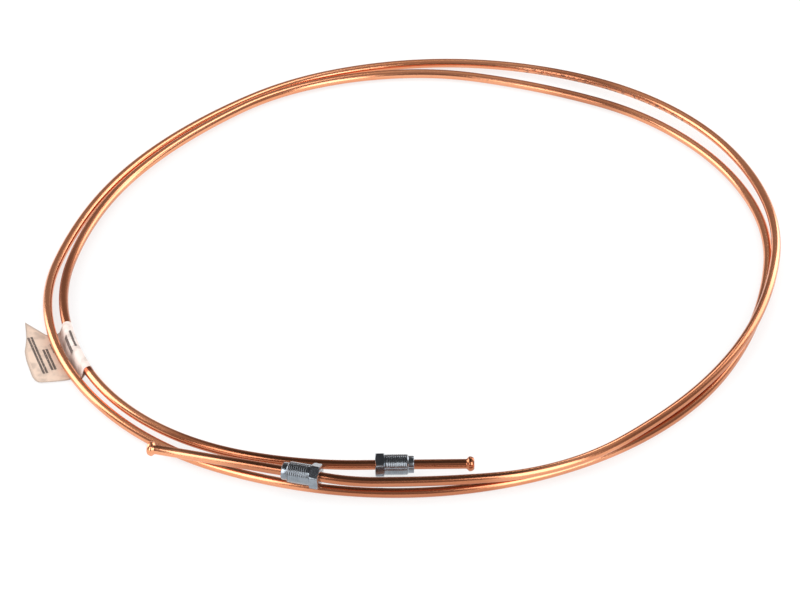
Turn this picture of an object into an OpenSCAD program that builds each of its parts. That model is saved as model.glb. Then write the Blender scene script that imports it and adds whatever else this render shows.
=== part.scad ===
// Ready-made copper tube line, bent into two open turns, with flared ends and two loose flare nuts.
// Millimetres. The coil lies on the floor at z = 0, with +X to the right and +Y to the back.

/* [Tube] */
// Outside diameter of the tube
tube_od = 4.75; // [4:0.05:6]
// Wall thickness of the tube
tube_wall = 0.7; // [0.5:0.05:1]
// Least space between two strands that lie against each other
lay_gap = 0.3; // [0.2:0.05:1]

/* [Coil] */
// Mean diameter of the coil, at the tube's axis
coil_d = 364; // [300:1:480]
// How far the coil bulges out of round, along its long axis
bulge = 10; // [0:0.5:16]
// Direction of the long axis, in degrees from +X
bulge_turn = 37; // [0:1:90]

/* [Straight ends] */
// Length of the upper straight end, from the bend to the mouth of its flare
left_tail_l = 88; // [70:1:120]
// Heading of the upper end where its bend starts, in degrees from +X
left_tail_heading = 345; // [340:0.5:350]
// Length of the lower straight end, from the bend to the mouth of its flare
right_tail_l = 54; // [45:1:80]
// Heading of the lower end, in degrees from +X
right_tail_heading = 1; // [-4:0.5:4]

/* [Flares] */
// Outside diameter of the flare's bead
flare_d = 7.2; // [6.6:0.1:8]
// Length of the flare's nose, from the bead's crest to the mouth
nose_l = 2.1; // [1.4:0.1:3]
// Diameter of the flat nose round the mouth
nose_face_d = 5; // [4.6:0.1:6]
// Radius of the bead's rounded crest
bead_round = 0.9; // [0.5:0.1:1.2]
// Depth of the funnel at the mouth
mouth_depth = 0.8; // [0.4:0.1:1.5]

/* [Flare nuts] */
// Width of the hexagon across its flats
hex_af = 11; // [10:0.5:13]
// Length of the hexagon
hex_l = 4.5; // [3:0.1:8]
// Outside diameter of the thread
thread_d = 10; // [9:0.1:10]
// Length of the threaded shank
thread_l = 11.4; // [8:0.1:14]
// Diameter of the plain lead in front of the thread
lead_d = 8.4; // [7.8:0.1:8.6]
// Length of the plain lead
lead_l = 2.5; // [2:0.1:4]
// Size of the chamfers on the thread and the lead
nut_chamfer = 0.7; // [0.3:0.1:0.9]
// Radial clearance between the nut's bore and the tube
nut_clearance = 0.1; // [0.05:0.01:0.2]
// Distance from the bend to the back of the nut on the upper end
left_nut_at = 3; // [1:0.5:20]
// Distance from the bend to the back of the nut on the lower end
right_nut_at = 7; // [1:0.5:20]
// How far the upper nut's hexagon is turned on the tube, in degrees from a corner at its side
left_nut_turn = 23; // [0:1:60]
// How far the lower nut's hexagon is turned on the tube, in degrees from a corner at its side
right_nut_turn = 24; // [0:1:60]

/* [Label] */
// Length of the label along the tube
label_l = 39; // [25:1:42]
// How far the label's middle lies past the middle of the bend that carries it
label_shift = 3; // [0:0.5:4]
// How far the label's flag reaches out from the tube's axis
flag_w = 24.5; // [16:0.5:40]
// Thickness of one layer of the label's paper
paper_t = 0.15; // [0.1:0.05:0.3]
// Space between the label's sleeve and the tube
label_clearance = 0.1; // [0.05:0.05:0.3]

/* [Hidden] */

tube_r = tube_od / 2;
bore_r = tube_r - tube_wall;
pitch = tube_od + lay_gap;
hex_r = hex_af / sqrt(3);
nut_l = hex_l + thread_l + lead_l;
nut_bore_r = tube_r + nut_clearance;

// The oval's centre, which leaves the middle of the whole part, label included, at the origin
oval_centre = [5.5, 1.3, 0];

// The back of a flare is a cone at 45 degrees that runs into the bead's rounded crest.
// The nut's seat has the same slope.
bead_at = flare_d / 2 - bead_round;
bead_slope = bead_round * sin(45);
shoulder_l = 2 * bead_slope + bead_at - tube_r;

// The upper end is high enough for its nut to slide over the strand below it,
// and the lower end is high enough for its nut to clear the floor.
left_tail_lift = (hex_r + tube_r + lay_gap) / pitch;
right_tail_lift = (hex_r + lay_gap - tube_r) / pitch;

// The outer strand passes over the label's flag.
flag_t = 2 * paper_t;
flag_lift = (flag_t + 3 * lay_gap) / pitch;

// How far the fold's upper layer runs out from the sleeve on its way down to the flag
fold_run = 2;

// Outline of the flag, which was stuck down askew, seen from above:
// shares of its reach outwards, and of the label's length along the tube from the label's middle
FLAG_OUTLINE = [
  [0.1, -0.36], [0.39, -0.55], [0.68, -0.86], [0.73, -0.7], [0.79, -0.53], [0.93, -0.28], [0.97, -0.11],
  [0.99, 0.12], [1, 0.25], [0.98, 0.34], [0.94, 0.39], [0.88, 0.41], [0.76, 0.42], [0.42, 0.45], [0.1, 0.45]
];

// The route of the bent tube, from the upper end to the lower one, as stations chosen by eye:
// running angle, strand widths inside the oval, strand widths above the floor.
// The bend that starts at LABEL_STATION carries the label.
LABEL_STATION = [915, 2, 0.5];
STATIONS = [
  [257, -0.7, left_tail_lift],
  [272, -0.9, 1.5], [292, -1.8, 1.15], [315, -0.6, 1.05], [345, 0.7, 1.05],
  [375, 0.7, 0.8], [405, 0.2, 0.5], [435, -0.2, 0.2],
  [465, -0.6, 0], [495, 0.7, 0], [525, 1.4, 0.1],
  [555, 0.4, flag_lift], [585, 0.2, 0], [615, -0.1, 0],
  [645, -1, 0], [675, -0.8, 0], [705, 1.1, 0],
  [735, 1.8, 0], [765, 2.6, 0], [788, 2.8, 0],
  [810, 1.2, 0], [832, 0.7, 0.1], [855, 1.9, 0.25], [885, 2.6, 0.35],
  LABEL_STATION, [945, 1.4, 0.65],
  [981, 2.7, right_tail_lift]
];
LAST = len(STATIONS) - 1;

// Neighbouring stretches of the tube meet in a ball that is a hair wider, so that they join as one body.
hair = 0.01;
ball_r = tube_r + hair;
smooth = 96;

// How far a cut runs past the face that it opens
cut_over = 1;

function unit(v) = v / norm(v);
function level(a) = [cos(a), sin(a), 0];
function oval_r(a) = coil_d / 2 + bulge * cos(2 * (a - bulge_turn));

// Place of the tube's axis at a station
function spot(i) =
  let (a = STATIONS[i][0], r = oval_r(a) - STATIONS[i][1] * pitch)
  oval_centre + r * level(a) + [0, 0, ball_r + STATIONS[i][2] * pitch];

// Direction at a station between two others: that of the circle through the three
function mid_heading(i) =
  let (back = spot(i) - spot(i - 1), ahead = spot(i + 1) - spot(i))
  unit(back / (back * back) + ahead / (ahead * ahead));

// Direction of the tube at a station, which is level where the tube lies on the floor
function heading(i) =
  i == 0 ? level(left_tail_heading)
  : i == LAST ? level(right_tail_heading)
  : let (d = mid_heading(i))
    STATIONS[i][2] > 0 ? d : unit([d[0], d[1], 0]);

// A bend that leaves p along t and ends at q: start, direction, way to its centre, radius, angle
function bend(p, t, q) =
  let (v = q - p, inward = v - (v * t) * t)
  [p, t, unit(inward), (v * v) / (2 * norm(inward)), 2 * atan2(norm(inward), v * t)];

// The two bends that lead smoothly from p, along t, to q, along u
function bend_pair(p, t, q, u) =
  let (
    v = q - p,
    both = v * (t + u),
    open = 2 * (1 - t * u),
    reach = (sqrt(both * both + open * (v * v)) - both) / open,
    a = p + reach * t,
    b = q - reach * u
  )
  [bend(p, t, (a + b) / 2), bend((a + b) / 2, unit(b - a), q)];

BENDS = [for (i = [0 : LAST - 1]) each bend_pair(spot(i), heading(i), spot(i + 1), heading(i + 1))];
LABEL_BEND = [for (i = [0 : LAST - 1]) if (STATIONS[i] == LABEL_STATION) BENDS[2 * i]][0];

// Moves its children from the origin to p, with their x, y and z axes along x, y and z
module at_frame(p, x, y, z) {
  multmatrix([
    [x[0], y[0], z[0], p[0]],
    [x[1], y[1], z[1], p[1]],
    [x[2], y[2], z[2], p[2]],
    [0, 0, 0, 1]
  ]) children();
}

// Sets its children round a bend's centre: x points to the bend's start, and y along the tube there
module round_bend(b) {
  at_frame(b[0] + b[3] * b[2], -b[2], b[1], cross(b[1], b[2])) children();
}

// Moves its children, made along z, to a straight end that leaves p towards its flare along d
module along_tail(p, d) {
  at_frame(p, cross([0, 0, 1], d), [0, 0, 1], d) children();
}

module on_left_tail() {
  along_tail(spot(0), -heading(0)) children();
}

module on_right_tail() {
  along_tail(spot(LAST), heading(LAST)) children();
}

// A rod of the given radius that fills every bend of the route, with a wider ball at each end of a bend
module bent_rod(r) {
  for (b = BENDS) {
    round_bend(b)
      rotate_extrude(angle = b[4], $fn = 4 * smooth)
        translate([b[3], 0]) circle(r = r, $fn = smooth);
    at_frame(b[0], b[2], cross(b[1], b[2]), b[1]) sphere(r = r + hair, $fn = smooth);
  }
  on_right_tail() sphere(r = r + hair, $fn = smooth);
}

// Half section of a straight end and its flare, from the bend at y = 0 to the mouth at y = l
module tail_section(l) {
  crest = l - nose_l;
  polygon([
    [0, 0], [tube_r, 0],
    [tube_r, crest - shoulder_l], [bead_at + bead_slope, crest - bead_slope],
    [bead_at + bead_slope, crest + bead_slope], [nose_face_d / 2, l], [0, l]
  ]);
  translate([bead_at, crest]) circle(r = bead_round, $fn = smooth);
}

// Half section of the bore of a straight end, with the funnel at its mouth
module tail_bore_section(l) {
  mouth_r = (bore_r + nose_face_d / 2) / 2;
  end = l + cut_over;
  polygon([[0, 0], [bore_r, 0], [bore_r, l - mouth_depth], [mouth_r, l], [mouth_r, end], [0, end]]);
}

module tube() {
  color("#b87347")
    difference() {
      union() {
        bent_rod(tube_r);
        on_left_tail() rotate_extrude($fn = smooth) tail_section(left_tail_l);
        on_right_tail() rotate_extrude($fn = smooth) tail_section(right_tail_l);
      }
      bent_rod(bore_r);
      on_left_tail() rotate_extrude($fn = smooth) tail_bore_section(left_tail_l);
      on_right_tail() rotate_extrude($fn = smooth) tail_bore_section(right_tail_l);
    }
}

// Half section of a nut's bore, shank and lead, along y from the back of its hexagon
module nut_section() {
  thread_r = thread_d / 2;
  lead_r = lead_d / 2;
  thread_end = hex_l + thread_l;
  seat_r = flare_d / 2;
  polygon([
    [nut_bore_r, 0], [hex_r, 0], [hex_r, hex_l],
    [thread_r, hex_l], [thread_r, thread_end - nut_chamfer], [lead_r, thread_end],
    [lead_r, nut_l - nut_chamfer], [lead_r - nut_chamfer / 2, nut_l],
    [seat_r, nut_l], [nut_bore_r, nut_l - seat_r + nut_bore_r]
  ]);
}

// The hexagon's six flats, with the corners turned down at both ends
module hex_envelope() {
  turned_r = hex_af / 2;
  fall = (hex_r - turned_r) * tan(30);
  intersection() {
    cylinder(r = hex_r, h = hex_l, $fn = 6);
    rotate_extrude($fn = smooth)
      polygon([
        [0, 0], [turned_r, 0], [hex_r, fall], [hex_r, hex_l - fall], [turned_r, hex_l], [0, hex_l]
      ]);
  }
}

module flare_nut() {
  intersection() {
    rotate_extrude($fn = smooth) nut_section();
    union() {
      hex_envelope();
      cylinder(d = thread_d, h = nut_l, $fn = smooth);
    }
  }
}

module left_flare_nut() {
  color("#aeb6bf") on_left_tail() translate([0, 0, left_nut_at]) rotate([0, 0, left_nut_turn]) flare_nut();
}

module right_flare_nut() {
  color("#aeb6bf") on_right_tail() translate([0, 0, right_nut_at]) rotate([0, 0, right_nut_turn]) flare_nut();
}

// Angle that a length along the label's bend takes up
function label_angle(l) = l / LABEL_BEND[3] * 180 / PI;

// Angle from the start of the bend to the label's middle
label_middle = LABEL_BEND[4] / 2 + label_angle(label_shift);

// Turns its section, which stands r from the centre, over a length l about the label's middle
module label_sweep(r, l) {
  rotate([0, 0, label_middle - label_angle(l) / 2])
    rotate_extrude(angle = label_angle(l), $fn = 4 * smooth)
      translate([r, 0]) children();
}

// A rod of radius r and length l along the tube where the label sits
module label_rod(r, l) {
  round_bend(LABEL_BEND) label_sweep(LABEL_BEND[3], l) circle(r = r, $fn = smooth);
}

// The fold between sleeve and flag and the flag itself, for a sleeve of radius r
module label_flag(r) {
  inward = LABEL_BEND[2];
  centre = LABEL_BEND[0] + LABEL_BEND[3] * inward;
  out = -unit([inward[0], inward[1], 0]);
  reach = LABEL_BEND[3] * norm([inward[0], inward[1]]);
  at_frame([centre[0], centre[1], 0], out, cross([0, 0, 1], out), [0, 0, 1]) {
    label_sweep(reach, label_l) fold_section(r, LABEL_BEND[0][2]);
    rotate([0, 0, label_middle])
      translate([reach, 0, 0])
        linear_extrude(height = flag_t) polygon([for (p = FLAG_OUTLINE) [p[0] * flag_w, p[1] * label_l]]);
  }
}

// Section of the two layers that run from a sleeve of radius r, at height z, to the flag on the floor
module fold_section(r, z) {
  below = z - r;
  foot = r + fold_run;
  inner_foot = foot - paper_t;
  polygon([
    [0, below], [below, 0], [foot, 0], [foot, flag_t], [below + flag_t, flag_t], [flag_t, below + flag_t]
  ]);
  polygon([[r - paper_t, z], [r, z], [foot, flag_t], [foot, 0], [inner_foot, 0], [inner_foot, flag_t]]);
}

module label() {
  sleeve_bore_r = tube_r + label_clearance;
  sleeve_r = sleeve_bore_r + paper_t;
  color("#f1ece2")
    difference() {
      union() {
        label_rod(sleeve_r, label_l);
        label_flag(sleeve_r);
      }
      label_rod(sleeve_bore_r, label_l + 2 * cut_over);
    }
}

tube();
left_flare_nut();
right_flare_nut();
label();
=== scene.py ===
"""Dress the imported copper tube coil: the bent tube, its flare nuts, its label and the studio."""

import logging
import math
from dataclasses import dataclass, field
from enum import Enum
from typing import Any, Iterable, Union

import bmesh
import bpy
from bmesh.types import BMesh, BMEdge, BMVert
from mathutils import Matrix, Vector


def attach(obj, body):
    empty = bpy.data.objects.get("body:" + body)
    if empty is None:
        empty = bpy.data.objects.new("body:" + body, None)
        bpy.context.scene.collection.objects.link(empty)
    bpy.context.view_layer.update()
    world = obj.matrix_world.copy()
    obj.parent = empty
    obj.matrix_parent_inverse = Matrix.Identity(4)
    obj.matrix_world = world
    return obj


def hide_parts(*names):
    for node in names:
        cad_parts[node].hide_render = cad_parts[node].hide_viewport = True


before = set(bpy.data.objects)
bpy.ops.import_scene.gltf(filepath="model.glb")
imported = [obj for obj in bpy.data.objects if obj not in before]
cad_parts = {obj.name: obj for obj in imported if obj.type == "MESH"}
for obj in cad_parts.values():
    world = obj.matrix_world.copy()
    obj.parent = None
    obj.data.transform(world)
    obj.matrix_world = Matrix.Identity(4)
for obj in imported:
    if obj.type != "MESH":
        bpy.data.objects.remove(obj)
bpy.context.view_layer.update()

LOG = logging.getLogger("copper_coil")
MM = 0.001
UP = Vector((0, 0, 1))

Colour = tuple[float, float, float, float]
Span = tuple[float, float]
Curve = list[tuple[float, float]]
# Distance along the tube's axis, outer radius and inner radius
Row = tuple[float, float, float]
# Angle from +X in degrees, pitches inside the oval and pitches above the floor
Station = tuple[float, float, float]


class Body(Enum):
    """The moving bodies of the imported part."""

    LINE = "line"
    LEFT_NUT = "left_nut"
    RIGHT_NUT = "right_nut"


class Slot(Enum):
    """The finishes."""

    COPPER = "copper"
    ZINC = "zinc"
    PAPER = "paper"


class Wire:
    """A value in a node tree, which takes part in sums as a Python number does."""

    def __init__(self, board: "Board", socket: "bpy.types.NodeSocket | None") -> None:
        """Wrap a socket.

        Args:
            board: The node tree's writer.
            socket: The output socket that carries the value, or None for a node without outputs.
        """
        self.board = board
        self.socket = socket

    def _sum(self, operation: str, first: Any, second: Any) -> "Wire":
        """Add a Math node and return its value."""
        return self.board.node("ShaderNodeMath", {"operation": operation}, {0: first, 1: second})

    def __add__(self, other: Any) -> "Wire":
        """Return self + other."""
        return self._sum("ADD", self, other)

    __radd__ = __add__

    def __mul__(self, other: Any) -> "Wire":
        """Return self * other."""
        return self._sum("MULTIPLY", self, other)

    __rmul__ = __mul__

    def __sub__(self, other: Any) -> "Wire":
        """Return self - other."""
        return self._sum("SUBTRACT", self, other)

    def __rsub__(self, other: Any) -> "Wire":
        """Return other - self."""
        return self._sum("SUBTRACT", other, self)

    def __gt__(self, other: Any) -> "Wire":
        """Return 1 where self is more than other, else 0."""
        return self._sum("GREATER_THAN", self, other)

    def __lt__(self, other: Any) -> "Wire":
        """Return 1 where self is less than other, else 0."""
        return self._sum("LESS_THAN", self, other)

    def __abs__(self) -> "Wire":
        """Return the value without its sign."""
        return self._sum("ABSOLUTE", self, 0.0)

    def at_least(self, other: Any) -> "Wire":
        """Return the greater of self and other."""
        return self._sum("MAXIMUM", self, other)


Value = Union[Wire, float, tuple]


@dataclass(frozen=True)
class Grain:
    """A noise pattern: how fine and how rough it is, and its scale along each axis."""

    scale: float
    detail: float = 3.0
    roughness: float = 0.55
    stretch: tuple[float, float, float] = (1, 1, 1)


class Board:
    """Writes the nodes of one material or world."""

    def __init__(self, tree: bpy.types.NodeTree) -> None:
        """Empty the tree.

        Args:
            tree: The node tree to write.
        """
        self.tree = tree
        tree.nodes.clear()

    def node(self, kind: str, settings: dict[str, Any], values: dict[Any, Value],
             out: Any = 0) -> Wire:
        """Add one node.

        Args:
            kind: The node's type.
            settings: The node's own properties; a ramp's stops go under the key stops.
            values: A number, colour or wire for each socket, by its name or place.
            out: Name or place of the output that is wanted.

        Returns:
            The wire of that output.
        """
        made = self.tree.nodes.new(kind)
        for key, setting in settings.items():
            if key == "stops":
                self._stops(made.color_ramp, setting)
            else:
                setattr(made, key, setting)
        for key, value in values.items():
            if isinstance(value, Wire):
                self.tree.links.new(value.socket, made.inputs[key])
            else:
                made.inputs[key].default_value = value
        return Wire(self, made.outputs[out] if len(made.outputs) else None)

    @staticmethod
    def _stops(ramp: bpy.types.ColorRamp, stops: Iterable[tuple[float, Colour]]) -> None:
        """Set a ramp's stops.

        Args:
            ramp: The ramp, which has two stops at first.
            stops: Place and colour of each stop, from the least place up.
        """
        for k, (place, colour) in enumerate(stops):
            stop = ramp.elements[k] if k < 2 else ramp.elements.new(place)
            stop.position = place
            stop.color = colour

    def noise(self, place: Wire, grain: Grain) -> Wire:
        """Add a noise from 0 to 1.

        Args:
            place: The coordinates.
            grain: The noise's pattern.

        Returns:
            The noise.
        """
        if grain.stretch != Grain.stretch:
            place = self.node("ShaderNodeMapping", {}, {"Vector": place, "Scale": grain.stretch},
                              "Vector")
        return self.node("ShaderNodeTexNoise", {}, {
            "Vector": place, "Scale": grain.scale, "Detail": grain.detail,
            "Roughness": grain.roughness}, "Fac")

    def step(self, value: Wire, span: Span, top: float = 1.0) -> Wire:
        """Return a smooth rise from 0 at the span's start to top at its end."""
        return self.node("ShaderNodeMapRange", {"interpolation_type": "SMOOTHSTEP"}, {
            "Value": value, "From Min": span[0], "From Max": span[1], "To Max": top}, "Result")

    def band(self, value: Wire, span: Span, rise: float, fall: float) -> Wire:
        """Mark a span.

        Args:
            value: The value that runs through the span.
            span: Its first and last value.
            rise: How much of the span the mark takes to rise.
            fall: How much of it the mark takes to fall.

        Returns:
            1 in the span's middle, falling smoothly to 0 at its ends.
        """
        first, last = span
        rising = self.step(value, (first, first + rise))
        return rising * (1.0 - self.step(value, (last - fall, last)))

    def mix(self, share: Value, first: Value, second: Value) -> Wire:
        """Return the first colour where share is 0 and the second where it is 1."""
        return self.node("ShaderNodeMix", {"data_type": "RGBA"}, {0: share, 6: first, 7: second}, 2)

    def bump(self, height: Wire, distance: float, strength: float) -> Wire:
        """Return a normal that follows a height."""
        return self.node("ShaderNodeBump", {}, {
            "Height": height, "Distance": distance, "Strength": strength}, "Normal")

    def attribute(self, name: str, out: str = "Vector") -> Wire:
        """Return a mesh's own attribute."""
        return self.node("ShaderNodeAttribute", {"attribute_name": name}, {}, out)

    def split(self, vector: Wire) -> tuple[Wire, ...]:
        """Return a vector's three numbers."""
        parts = self.node("ShaderNodeSeparateXYZ", {}, {0: vector}).socket.node.outputs
        return tuple(Wire(self, part) for part in parts)

    def surface(self, values: dict[Any, Value]) -> None:
        """Add the material's surface with the given sockets and lead it to the output."""
        shader = self.node("ShaderNodeBsdfPrincipled", {}, values)
        self.node("ShaderNodeOutputMaterial", {}, {"Surface": shader})


def new_material(name: str) -> tuple[bpy.types.Material, Board]:
    """Make an empty material.

    Args:
        name: The material's name.

    Returns:
        The material and the writer of its nodes.
    """
    material = bpy.data.materials.new(name)
    material.use_nodes = True
    return material, Board(material.node_tree)


@dataclass(frozen=True)
class DrawnCopper:
    """Bright drawn copper, on the straightened tube's own coordinates."""

    bright: Colour = (0.88, 0.40, 0.225, 1)
    warm: Colour = (0.84, 0.345, 0.175, 1)
    # Dull copper for the worn streaks and touches, also used for painted shade on some stretches
    dull: Colour = (0.42, 0.145, 0.072, 1)
    # Painted shade at the end of the label's sleeve
    sleeve_shade_tone: Colour = (0.26, 0.05, 0.02, 1)
    ink: Colour = (0.10, 0.045, 0.03, 1)

    # Streaks from drawing, broad and cloudy tints, and dull touches of the hand
    streaks: Grain = Grain(2600, 4, 0.6, (1, 1, 0.012))
    broad: Grain = Grain(240, 2, stretch=(1, 1, 0.10))
    clouds: Grain = Grain(38, 4, 0.6)
    touches: Grain = Grain(150, 5, 0.65)
    warm_span: Span = (0.36, 0.66)
    warm_broad: float = 0.6
    touch_span: Span = (0.56, 0.75)
    touch_share: float = 0.2
    streak_span: Span = (0.60, 0.80)
    streak_share: float = 0.16

    # Roughness, and the fine relief of the streaks
    polish: float = 0.16
    sheen_span: Span = (0.3, 0.8)
    sheen_change: float = 0.08
    touch_matt: float = 0.07
    relief: float = 0.04 * MM
    relief_strength: float = 0.2
    relief_streaks: float = 0.7

    # Stretches with painted shade, darkened towards the dull tone for the dark surroundings they
    # mirror: from, to and how far they are darkened
    shaded_stretches: tuple[tuple[float, float, float], ...] = (
        (0.030, 0.180, 0.72), (0.165, 0.238, 0.20), (0.225, 0.395, 0.55), (0.585, 0.645, 0.60),
        (1.216, 1.325, 0.72), (1.310, 1.383, 0.20), (1.370, 1.540, 0.55), (1.705, 1.765, 0.60),
        (2.020, 2.172, 0.40), (2.080, 2.172, 0.32), (2.245, 2.440, 0.76))
    fade: float = 0.02

    # Painted shade where the label's sleeve ends: the shadow and dark reflection of its rim on the
    # tube
    sleeve_shade: Span = (2.1875, 2.1925)
    sleeve_shade_rise: float = 0.4 * MM
    sleeve_shade_fall: float = 2.4 * MM
    sleeve_shade_share: float = 0.85

    # The row of worn flecks
    marked: Span = (0.53, 0.66)
    mark_way: Span = (0.97, -0.2)
    mark_side: Span = (1.75 * MM, 2 * MM)
    worn: Grain = Grain(1100, 2, stretch=(1, 1, 0.7))
    worn_span: Span = (0.52, 0.58)
    groups: Grain = Grain(160, 1, stretch=(0.1, 0.1, 1))
    group_span: Span = (0.40, 0.48)
    ink_share: float = 0.85
    ink_cover: float = 0.7
    ink_matt: float = 0.25

    def make(self) -> bpy.types.Material:
        """Write the material.

        Returns:
            The material.
        """
        material, board = new_material("drawn_copper")
        lay = board.attribute("lay")
        across, upright, along = board.split(lay)
        streaks = board.noise(lay, self.streaks)
        broad = board.noise(lay, self.broad)
        clouds = board.noise(lay, self.clouds)
        touched = board.step(board.noise(lay, self.touches), self.touch_span)
        tinted = broad * self.warm_broad + clouds * (1 - self.warm_broad)
        tone = board.mix(board.step(tinted, self.warm_span), self.bright, self.warm)
        streaked = board.step(streaks, self.streak_span, self.streak_share)
        tone = board.mix(touched * self.touch_share + streaked, tone, self.dull)
        # Painted shade: the listed stretches are darkened towards the dull tone
        tone = board.mix(self._painted_shade_share(board, along), tone, self.dull)
        # Painted shade: a dark ring on the tube where the sleeve ends
        sleeve_shade = board.band(along, self.sleeve_shade, self.sleeve_shade_rise, self.sleeve_shade_fall)
        tone = board.mix(sleeve_shade * self.sleeve_shade_share, tone, self.sleeve_shade_tone)
        ink = self._flecks(board, lay, across, upright, along)
        rough = self.polish + board.step(streaks, self.sheen_span, self.sheen_change)
        relief = streaks * self.relief_streaks + broad * (1 - self.relief_streaks)
        board.surface({
            "Base Color": board.mix(ink, tone, self.ink),
            "Metallic": 1.0 - ink * self.ink_cover,
            "Roughness": rough + touched * self.touch_matt + ink * self.ink_matt,
            "Normal": board.bump(relief, self.relief, self.relief_strength),
        })
        return material

    def _painted_shade_share(self, board: Board, along: Wire) -> Wire:
        """Add up the stretches with painted shade.

        Args:
            board: The material's writer.
            along: The length along the tube.

        Returns:
            How far the painted shade darkens the copper there.
        """
        dulled: Wire | float = 0.0
        for first, last, share in self.shaded_stretches:
            dulled = board.band(along, (first, last), self.fade, self.fade) * share + dulled
        return dulled

    def _flecks(self, board: Board, lay: Wire, across: Wire, upright: Wire, along: Wire) -> Wire:
        """Mark where worn flecks of ink lie in a row along one stretch of the tube.

        Args:
            board: The material's writer.
            lay: Coordinates on the straightened tube.
            across: Their first number.
            upright: Their second number.
            along: Their third number, the length along the tube.

        Returns:
            A share from 0 to the ink's own.
        """
        to_side = across * self.mark_way[0] + upright * self.mark_way[1]
        side = board.step(to_side, self.mark_side)
        stretch = board.band(along, self.marked, self.fade, self.fade)
        worn = board.step(board.noise(lay, self.worn), self.worn_span)
        grouped = board.step(board.noise(lay, self.groups), self.group_span)
        return side * stretch * worn * grouped * self.ink_share


@dataclass(frozen=True)
class ZincPlate:
    """Bright zinc plate with a blue cast and straw patches, darker and matter in its hollows."""

    plate: Colour = (0.27, 0.315, 0.36, 1)
    shade: Colour = (0.21, 0.245, 0.285, 1)
    straw: Colour = (0.27, 0.29, 0.30, 1)
    hollow_tone: Colour = (0.12, 0.125, 0.13, 1)
    clouds: Grain = Grain(260)
    cloud_span: Span = (0.40, 0.62)
    patches: Grain = Grain(620, 4, 0.65)
    straw_span: Span = (0.56, 0.72)
    straw_share: float = 0.3
    hollow_share: float = 0.5
    polish: float = 0.20
    matt_span: Span = (0.4, 0.75)
    matt_change: float = 0.04
    hollow_matt: float = 0.08
    coat: float = 0.8
    coat_roughness: float = 0.10
    coat_ior: float = 1.6
    grain: Grain = Grain(5200, 3, 0.6)
    relief: float = 0.01 * MM
    relief_strength: float = 0.2

    def make(self) -> bpy.types.Material:
        """Write the material.

        Returns:
            The material.
        """
        material, board = new_material("zinc_plate")
        place = board.node("ShaderNodeTexCoord", {}, {}, "Object")
        clouds = board.noise(place, self.clouds)
        patches = board.noise(place, self.patches)
        hollow = board.attribute("hollow", "Fac")
        tone = board.mix(board.step(clouds, self.cloud_span), self.plate, self.shade)
        tone = board.mix(board.step(patches, self.straw_span, self.straw_share), tone, self.straw)
        # Darker where the mesh marks its hollows: the thread's grooves and inside the seat
        tone = board.mix(hollow * self.hollow_share, tone, self.hollow_tone)
        rough = self.polish + board.step(patches, self.matt_span, self.matt_change)
        board.surface({
            "Base Color": tone,
            "Metallic": 1.0,
            "Roughness": rough + hollow * self.hollow_matt,
            "Coat Weight": self.coat,
            "Coat Roughness": self.coat_roughness,
            "Coat IOR": self.coat_ior,
            "Normal": board.bump(board.noise(place, self.grain), self.relief, self.relief_strength),
        })
        return material


@dataclass(frozen=True)
class LabelPaper:
    """Coated paper, darker towards its edges, with a few plain ruled lines."""

    sheet: Colour = (0.69, 0.53, 0.425, 1)
    pale: Colour = (0.76, 0.66, 0.61, 1)
    edge: Colour = (0.36, 0.28, 0.23, 1)
    ink: Colour = (0.075, 0.055, 0.05, 1)
    pale_share: float = 0.4
    clouds: Grain = Grain(120)
    cloud_span: Span = (0.44, 0.66)
    cloud_share: float = 0.55
    rim_share: float = 0.85
    fibres: Grain = Grain(1500, 4, 0.6)
    matt: float = 0.62
    fibre_matt: float = 0.2
    relief: float = 0.12 * MM
    relief_strength: float = 0.6
    relief_fibres: float = 0.5

    # Each line's distance from the tube, as a share of the reach, and its start and end along it
    rules: tuple[tuple[float, float, float], ...] = (
        (0.750, 0.46, 1.24), (0.685, 0.46, 1.24), (0.560, 0.75, 1.20), (0.495, 0.75, 1.20),
        (0.370, 0.66, 0.86), (-0.235, 0.24, 0.60), (-0.285, 0.24, 0.60), (-0.41, 0.20, 0.54))
    rule_half: float = 0.6 * MM
    rule_worn: Span = (0.30, 0.45)
    rule_share: float = 0.95

    def make(self, length: float, reach: float) -> bpy.types.Material:
        """Write the material.

        Args:
            length: Length of the label along the tube.
            reach: How far its flag reaches from the tube.

        Returns:
            The material.
        """
        material, board = new_material("label_paper")
        sheet = board.attribute("sheet")
        along, out, rim = board.split(sheet)
        fibres = board.noise(sheet, self.fibres)
        clouds = board.noise(sheet, self.clouds)
        tone = board.mix(board.step(out, (0.0, self.pale_share * reach)), self.pale, self.sheet)
        tone = board.mix(board.step(clouds, self.cloud_span, self.cloud_share), tone, self.edge)
        # Darker along the flag's free edges and corners
        tone = board.mix(board.step(rim, (0.0, 1.0), self.rim_share), tone, self.edge)
        lines = self._lines(board, along, out, length, reach) * board.step(fibres, self.rule_worn)
        relief = fibres * self.relief_fibres + clouds * (1 - self.relief_fibres)
        board.surface({
            "Base Color": board.mix(lines * self.rule_share, tone, self.ink),
            "Roughness": self.matt + fibres * self.fibre_matt,
            "Normal": board.bump(relief, self.relief, self.relief_strength),
        })
        return material

    def _lines(self, board: Board, along: Wire, out: Wire, length: float, reach: float) -> Wire:
        """Mark where the ruled lines lie.

        Args:
            board: The material's writer.
            along: Place along the label, from 0.
            out: Distance from the tube.
            length: The label's length.
            reach: The flag's reach.

        Returns:
            1 on a line, else 0.
        """
        lines: Wire | None = None
        for place, start, end in self.rules:
            on_line = abs(out - place * reach) < self.rule_half
            line = on_line * ((along > start * length) * (along < end * length))
            lines = line if lines is None else lines.at_least(line)
        return lines


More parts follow.
